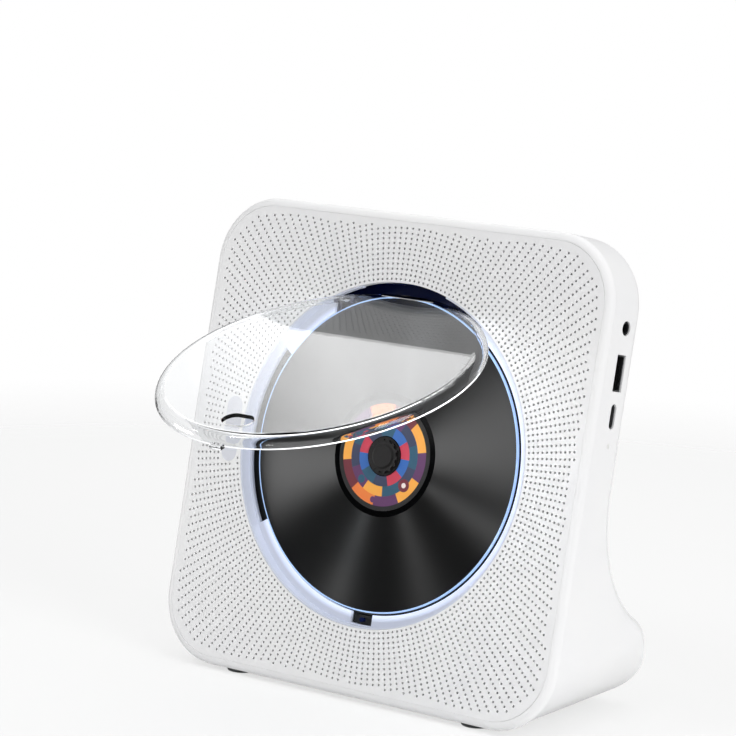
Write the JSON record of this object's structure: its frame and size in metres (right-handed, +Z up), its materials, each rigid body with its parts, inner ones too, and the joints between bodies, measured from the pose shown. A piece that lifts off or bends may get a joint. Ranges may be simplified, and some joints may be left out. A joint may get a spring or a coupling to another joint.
{
  "type": "wall mounted cd player",
  "caption": "Disc player with a leaning perforated front, a round lit well under a hinged clear cover, a disc on its spindle, side sockets and keys, and a foot that also stands it on a desk.",
  "frame": {"origin": "on the surface that the rubber feet stand on, under the middle of the box round the case and its open cover", "axes": "+X to the right of someone who faces the front, +Y into the depth, +Z up; the front leans back by 12 degrees about X"},
  "size_m": [0.1848, 0.1508, 0.1826],
  "materials": {
    "black_disc": "fine circular grooves",
    "black_plastic": "fine grain",
    "clear_cover": "clear plastic, polished",
    "cone_paper": "matte",
    "dark_rubber": "matte",
    "gear_brass": "plain",
    "green_board": "solder mask",
    "grey_hub": "satin",
    "ivory_plastic": "low-friction",
    "lens_glass": "coated",
    "lit_chip": "lit",
    "lit_ring": "translucent, lit from behind in pale blue",
    "motor_can": "plated",
    "navy_plastic": "dark",
    "printed_label": "printed in colours",
    "receiver_lens": "frosted grey",
    "sheet_steel": "zinc plated",
    "sled_plastic": "plain",
    "socket_steel": "bright",
    "steel": "plain",
    "white_board": "solder mask",
    "white_case": "satin white",
    "white_key": "satin",
    "white_light": "frosted"
  },
  "bodies": {
    "cabinet": {"front_panel": "white_case", "grille_skin": "white_case", "rear_housing": "white_case", "light_ring": "lit_ring", "led_board": "white_board", "led_chips": "lit_chip", "disc_deck": "black_plastic", "hinge_bracket": "navy_plastic", "hinge_pins": "steel", "hinge_springs": "steel", "spindle_motor": "motor_can", "mech_chassis": "sheet_steel", "guide_rails": "steel", "feed_motor": "motor_can", "feed_axle": "steel", "main_board": "green_board", "headphone_jack": "black_plastic", "usb_a_socket": "socket_steel", "usb_c_socket": "socket_steel", "side_light": "white_light", "speaker_frame_left": "black_plastic", "speaker_cone_left": "cone_paper", "speaker_magnet_left": "motor_can", "speaker_frame_right": "black_plastic", "speaker_cone_right": "cone_paper", "speaker_magnet_right": "motor_can", "lid_switch": "black_plastic", "receiver_window": "receiver_lens", "key_board": "green_board", "case_screws": "steel", "rubber_feet": "dark_rubber"},
    "cover": {"dust_cover": "clear_cover"},
    "disc_rotor": {"disc": "black_disc", "disc_label": "printed_label", "clamp_hub": "grey_hub", "turntable": "black_plastic", "turntable_pad": "dark_rubber", "spindle_shaft": "steel"},
    "pickup": {"pickup_sled": "sled_plastic", "sled_rack": "ivory_plastic"},
    "lens": {"lens_holder": "black_plastic", "objective_lens": "lens_glass"},
    "feed_wheel": {"feed_gear": "ivory_plastic"},
    "motor_pinion": {"feed_pinion": "gear_brass"},
    "plunger": {"lid_plunger": "ivory_plastic"},
    "key_power_body": {"key_power": "white_key"},
    "key_source_body": {"key_source": "white_key"},
    "key_previous_body": {"key_previous": "white_key"},
    "key_play_body": {"key_play": "white_key"},
    "key_next_body": {"key_next": "white_key"}
  },
  "joints": [
    {"name": "cover_hinge", "type": "hinge", "parent": "cabinet", "child": "cover", "pos_m": [0, 0.03977, 0.1469], "axis": [1, 0, 0], "range_deg": [0, 60]},
    {"name": "disc_spin", "type": "hinge", "parent": "cabinet", "child": "disc_rotor", "pos_m": [0, 0.02802, 0.09164], "axis": [0, -0.9781, 0.2079], "continuous": true},
    {"name": "sled_slide", "type": "slide", "parent": "cabinet", "child": "pickup", "axis": [-1, 0, 0], "range_m": [0, 0.0312]},
    {"name": "lens_focus", "type": "slide", "parent": "pickup", "child": "lens", "axis": [0, -0.9781, 0.2079], "range_m": [-0.0004, 0.0004], "stiffness_N_per_m": 30},
    {"name": "feed_wheel_spin", "type": "hinge", "parent": "cabinet", "child": "feed_wheel", "pos_m": [-0.04, 0.04423, 0.11498], "axis": [0, 0.9781, -0.2079], "range_deg": [-2, 499.6]},
    {"name": "motor_pinion_spin", "type": "hinge", "parent": "cabinet", "child": "motor_pinion", "pos_m": [-0.04602, 0.047, 0.12319], "axis": [0, 0.9781, -0.2079], "range_deg": [-1595, 4]},
    {"name": "lid_plunger_slide", "type": "slide", "parent": "cabinet", "child": "plunger", "axis": [0, 0.9781, -0.2079], "range_m": [0, 0.0006], "stiffness_N_per_m": 60},
    {"name": "key_power_press", "type": "slide", "parent": "cabinet", "child": "key_power_body", "axis": [1, 0, 0], "range_m": [0, 0.0006], "stiffness_N_per_m": 400},
    {"name": "key_source_press", "type": "slide", "parent": "cabinet", "child": "key_source_body", "axis": [1, 0, 0], "range_m": [0, 0.0006], "stiffness_N_per_m": 400},
    {"name": "key_previous_press", "type": "slide", "parent": "cabinet", "child": "key_previous_body", "axis": [1, 0, 0], "range_m": [0, 0.0006], "stiffness_N_per_m": 400},
    {"name": "key_play_press", "type": "slide", "parent": "cabinet", "child": "key_play_body", "axis": [1, 0, 0], "range_m": [0, 0.0006], "stiffness_N_per_m": 400},
    {"name": "key_next_press", "type": "slide", "parent": "cabinet", "child": "key_next_body", "axis": [1, 0, 0], "range_m": [0, 0.0006], "stiffness_N_per_m": 400}
  ],
  "couplings": [
    {"joint": "feed_wheel_spin", "follows": "sled_slide", "rad_per_m": 277.78},
    {"joint": "motor_pinion_spin", "follows": "sled_slide", "rad_per_m": -888.89}
  ]
}
